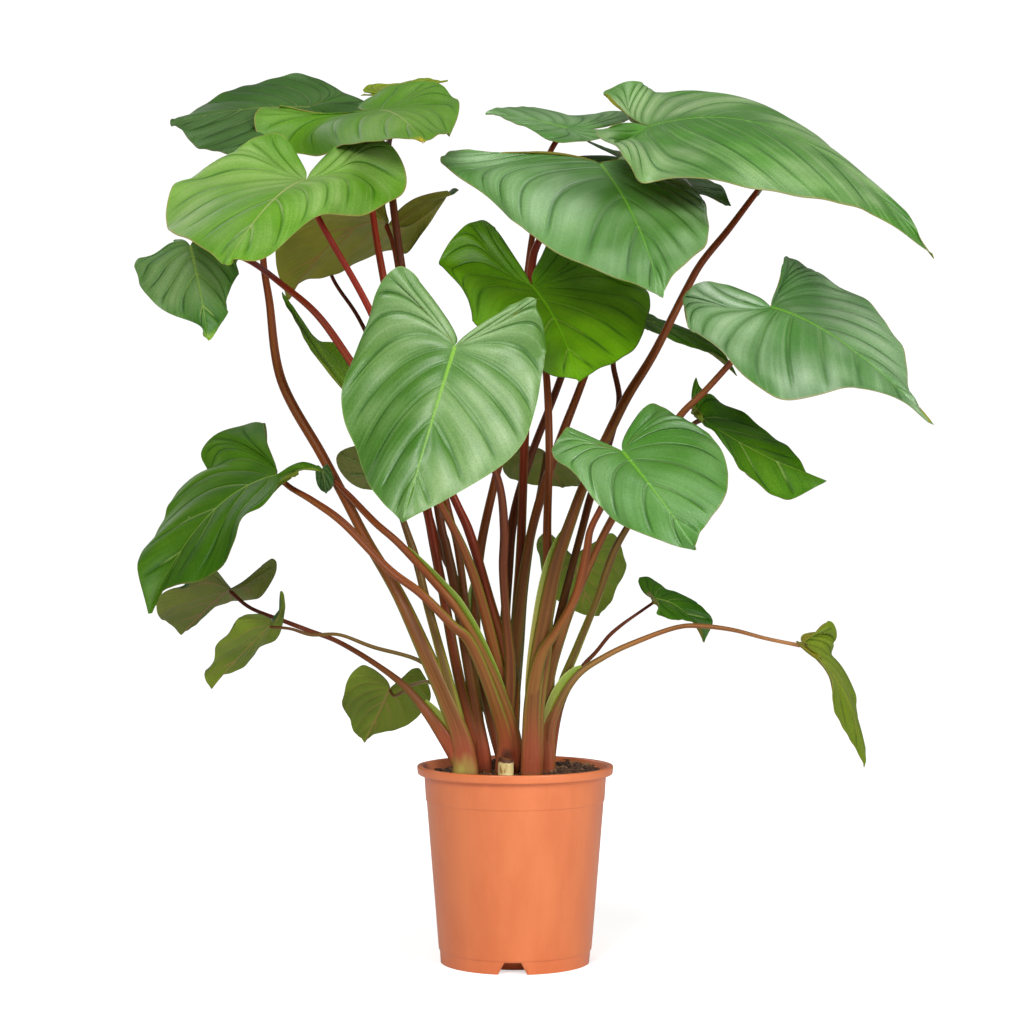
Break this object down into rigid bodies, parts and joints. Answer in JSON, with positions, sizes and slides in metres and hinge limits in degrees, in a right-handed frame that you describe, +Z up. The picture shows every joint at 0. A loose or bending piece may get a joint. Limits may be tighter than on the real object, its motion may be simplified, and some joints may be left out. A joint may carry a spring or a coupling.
{
  "type": "potted foliage plant",
  "caption": "Clump-forming foliage plant with pleated heart-shaped leaves on red-brown stalks, standing in soil in a round terracotta-coloured grow pot.",
  "frame": {"origin": "centre of the pot's base, on the surface it stands on", "axes": "+Z up along the pot's axis; the pictured side faces -Y; +X is to the right in the picture"},
  "size_m": [0.7675, 0.4719, 0.9281],
  "materials": {
    "pot_plastic": "satin orange terracotta-coloured moulded plastic",
    "potting_soil": "moist dark brown fibrous peat",
    "cut_rhizome": "pale dry cut end with brown bark",
    "stalk": "smooth reddish brown stalks, green sheath edges, pinkish feet",
    "leaf_pale": "satin pale green, pleated along the veins",
    "leaf_fresh": "satin fresh green, pleated along the veins",
    "leaf_mid": "satin mid green, pleated along the veins",
    "leaf_dark": "satin dark green, pleated along the veins",
    "leaf_under": "dull olive green underside"
  },
  "bodies": {
    "root": {"pot": "pot_plastic", "soil": "potting_soil", "rhizome_stub": "cut_rhizome", "shoot_left": "stalk", "shoot_left_back": "stalk", "shoot_middle": "stalk", "shoot_back": "stalk", "shoot_front": "stalk", "shoot_right": "stalk", "leaf_front_pale": "leaf_pale", "leaf_centre_dark": "leaf_mid", "leaf_upper_broad": "leaf_mid", "leaf_middle_right": "leaf_fresh", "leaf_top_left": "leaf_dark", "leaf_top_left_low": "leaf_fresh", "leaf_left_broad": "leaf_fresh", "leaf_left_hanging": "leaf_mid", "leaf_left_behind": "leaf_under", "leaf_left_folded": "leaf_fresh", "leaf_left_middle": "leaf_mid", "leaf_low_left": "leaf_under", "leaf_low_left_small": "leaf_under", "leaf_low_left_inner": "leaf_under", "leaf_behind_front": "leaf_under", "leaf_top_left_back": "leaf_under", "leaf_left_hidden": "leaf_mid", "leaf_left_tiny": "leaf_dark", "leaf_centre_back": "leaf_under", "leaf_top_centre": "leaf_mid", "leaf_top_right": "leaf_mid", "leaf_top_right_back": "leaf_dark", "leaf_right_large": "leaf_mid", "leaf_right_edge_on": "leaf_dark", "leaf_right_curled": "leaf_dark", "leaf_low_right_round": "leaf_under", "leaf_low_right_small": "leaf_mid", "leaf_right_hanging": "leaf_fresh", "leaf_top_right_hidden": "leaf_mid"}
  },
  "joints": []
}
